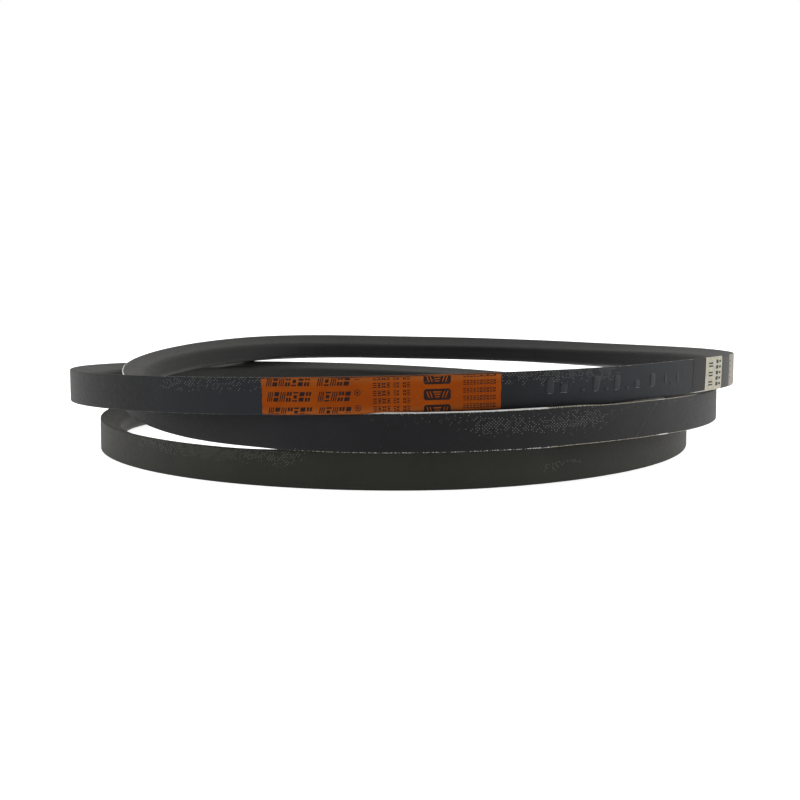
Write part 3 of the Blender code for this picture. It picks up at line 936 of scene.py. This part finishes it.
def pads(name, places, body, mat):
    """Low pads with rounded corners on the skin, each (run, y, half length, half height, rise)."""
    verts, faces = [], []
    sides = 20
    for r, y, rx, ry, rise in places:
        base = len(verts)
        levels = ((1.0, -0.12), (0.96, 0.30), (0.84, 0.68), (0.62, 0.90), (0.32, 1.0))
        for f, h in levels:
            for k in range(sides):
                a = 2 * math.pi * k / sides
                # rounded rectangle
                ca = math.copysign(abs(math.cos(a)) ** 0.45, math.cos(a))
                sa = math.copysign(abs(math.sin(a)) ** 0.45, math.sin(a))
                verts.append(on_belt(s_at(r + rx * f * ca), V_MID + y + ry * f * sa, rise * h))
        for i in range(len(levels) - 1):
            for k in range(sides):
                m = (k + 1) % sides
                faces.append((base + i * sides + k, base + i * sides + m, base + (i + 1) * sides + m, base + (i + 1) * sides + k))
        faces.append(tuple(base + k for k in range(sides)))
        faces.append(tuple(base + (len(levels) - 1) * sides + k for k in range(sides)))
    uvs = [(0.0, V_MID) for f in faces for _ in f]
    o = add_mesh(name, verts, faces, mat, uvs)
    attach(o, body)
    return o


strokes, domes, glint_strips = [], [], []
for at, kind, wide in ((0.6115, "pad", 4.2), (0.6235, "low", 4.0), (0.6410, "dot", 2.2), (0.6535, "pad", 4.0),
                       (0.6640, "dot", 2.2), (0.6745, "pad", 4.0), (0.6855, "dot", 1.6), (0.6965, "low", 3.6),
                       (0.7150, "pad", 3.8), (0.7315, "slab", 1.5), (0.7400, "dot", 1.8), (0.7490, "slab", 1.5)):
    x = run_at(at)
    f = (x - START) / (FINISH - START)     # the row sinks, and its marks shorten and fade, toward the far end
    yc, hh, w = 1.7 - 1.5 * f, 3.9 - 0.8 * f, wide / 2
    rise = 0.42 - 0.20 * f
    glint = 0.34 * (1.0 - 0.6 * f)
    if kind == "pad":       # tall solid pad
        domes.append((x, yc, w, hh, rise))
        glint_strips.append((line(x - w * 0.55, yc - hh * 0.93, x + w * 0.15, yc - hh * 1.0, 3), glint))
        glint_strips.append((line(x + w * 0.35, yc - hh * 0.95, x + w * 0.60, yc - hh * 0.90, 2), glint))
    elif kind == "low":     # half-height pad over a long painted glint strip
        domes.append((x, yc - hh * 0.38, w, hh * 0.55, rise))
        glint_strips.append((line(x - w * 0.8, yc - hh * 0.90, x + w * 0.9, yc - hh * 0.93, 4), glint))
    elif kind == "slab":    # thin leaning pad
        domes.append((x, yc, w, hh * 0.85, rise * 0.8))
    else:                   # small round pad
        domes.append((x, yc - hh * 0.80, w, hh * 0.24, rise))
        glint_strips.append((line(x - w * 0.5, yc - hh * 0.98, x + w * 0.3, yc - hh * 0.98, 2), glint * 0.8))
# the pads' dark colour is painted shade
pads("raised_pads", domes, "upper_turn", PAD_PAINTED_SHADE)
# painted glints: pale strips along the pads' lower edges
for n, (stroke, wide) in enumerate(glint_strips):
    raised(f"painted_glint_{n + 1}", [stroke], wide, "upper_turn", GLINT_PAINT, 0.9)


# ------------------------------------------------------------------ bias splice of the cover on the middle front
def ridge(name, s0, y0, s1, y1, width, height, body_a, body_b, mat):
    """Low lapped edge running slantwise over the back."""
    n = 26
    verts, faces = [], []
    for i in range(n + 1):
        f = i / n
        r = run_at(s0) + (run_at(s1) - run_at(s0)) * f + 0.12 * math.sin(i * 1.9)
        v = V_MID + y0 + (y1 - y0) * f
        for dx, h in ((-width / 2, -0.05), (-width * 0.3, height), (width * 0.25, height * 0.8), (width / 2, -0.05)):
            verts.append(on_belt(s_at(r + dx), v, h))
    for i in range(n):
        for k in range(4):
            m = (k + 1) % 4
            faces.append((i * 4 + k, i * 4 + m, (i + 1) * 4 + m, (i + 1) * 4 + k))
    faces += [(0, 1, 2, 3), tuple(n * 4 + k for k in range(4))]
    uvs = [(0.0, V_MID) for f in faces for _ in f]
    o = add_mesh(name, verts, faces, mat, uvs)
    if body_b:
        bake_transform(o)
    else:
        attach(o, body_a)
    return o


SPLICE = film_material("splice_edge", (0.040, 0.040, 0.038), (0.19, 0.19, 0.175), 0.6)
ridge("cover_splice", 2.7375, 8.0, 2.7035, -8.0, 0.34, 0.07, "middle_turn", None, SPLICE)

# ------------------------------------------------------------------ stage, light and camera
bm = bmesh.new()
bmesh.ops.create_circle(bm, cap_ends=True, segments=96, radius=6.0)
fm = bpy.data.meshes.new("floor")
bm.to_mesh(fm)
bm.free()
fm.materials.append(floor_material())
floor = bpy.data.objects.new("floor", fm)
bpy.context.scene.collection.objects.link(floor)

world = bpy.data.worlds.new("studio")
bpy.context.scene.world = world
world.use_nodes = True
wt = world.node_tree
wt.nodes.clear()
w_out = wt.nodes.new("ShaderNodeOutputWorld")
seen = wt.nodes.new("ShaderNodeBackground")
seen.inputs[0].default_value = (1.0, 1.0, 1.0, 1.0)
seen.inputs[1].default_value = 1.0
lit = wt.nodes.new("ShaderNodeBackground")
ramp = wt.nodes.new("ShaderNodeValToRGB")
tc = wt.nodes.new("ShaderNodeTexCoord")
sx = wt.nodes.new("ShaderNodeSeparateXYZ")
mr_ = wt.nodes.new("ShaderNodeMapRange")
wt.links.new(tc.outputs["Generated"], sx.inputs[0])
wt.links.new(sx.outputs["Y"], mr_.inputs[0])
mr_.inputs[1].default_value = -1.0
mr_.inputs[2].default_value = 1.0
wt.links.new(mr_.outputs[0], ramp.inputs[0])
ramp.color_ramp.elements[0].position = 0.10
ramp.color_ramp.elements[0].color = (0.16, 0.165, 0.18, 1)
ramp.color_ramp.elements[1].position = 0.62
ramp.color_ramp.elements[1].color = (1.0, 0.985, 0.96, 1)
wt.links.new(ramp.outputs[0], lit.inputs[0])
lit.inputs[1].default_value = 0.9
path = wt.nodes.new("ShaderNodeLightPath")
mixer = wt.nodes.new("ShaderNodeMixShader")
wt.links.new(path.outputs["Is Camera Ray"], mixer.inputs[0])
wt.links.new(lit.outputs[0], mixer.inputs[1])
wt.links.new(seen.outputs[0], mixer.inputs[2])
wt.links.new(mixer.outputs[0], w_out.inputs[0])


def area(name, loc, target, size, power, colour=(1, 1, 1)):
    d = bpy.data.lights.new(name, "AREA")
    d.shape = "RECTANGLE"
    d.size, d.size_y = size
    d.energy = power
    d.color = colour
    o = bpy.data.objects.new(name, d)
    o.location = loc
    o.rotation_mode = "QUATERNION"
    o.rotation_quaternion = (Vector(target) - Vector(loc)).to_track_quat("-Z", "Y")
    bpy.context.scene.collection.objects.link(o)
    return o


area("overhead", (0.0, 0.35, 1.5), (0, 0, 0), (2.2, 1.6), 22)
area("right_box", (1.7, -0.25, 0.7), (0.1, 0, 0.03), (1.2, 1.0), 16)
area("left_box", (-1.7, -0.15, 0.7), (-0.1, 0, 0.03), (1.2, 1.0), 6.5)

cam = bpy.data.cameras.new("camera")
cam.sensor_width = 36.0
cam.lens = 1350.64 / 800 * 36.0
cam_obj = bpy.data.objects.new("camera", cam)
cam_obj.location = tuple((np.array([0.0, -779.423, 106.22]) - SHIFT) * MM)
cam_obj.rotation_euler = (math.pi / 2 - 0.1066, 0.0, 0.0)
bpy.context.scene.collection.objects.link(cam_obj)
bpy.context.scene.camera = cam_obj
bpy.context.scene.view_settings.view_transform = "Standard"
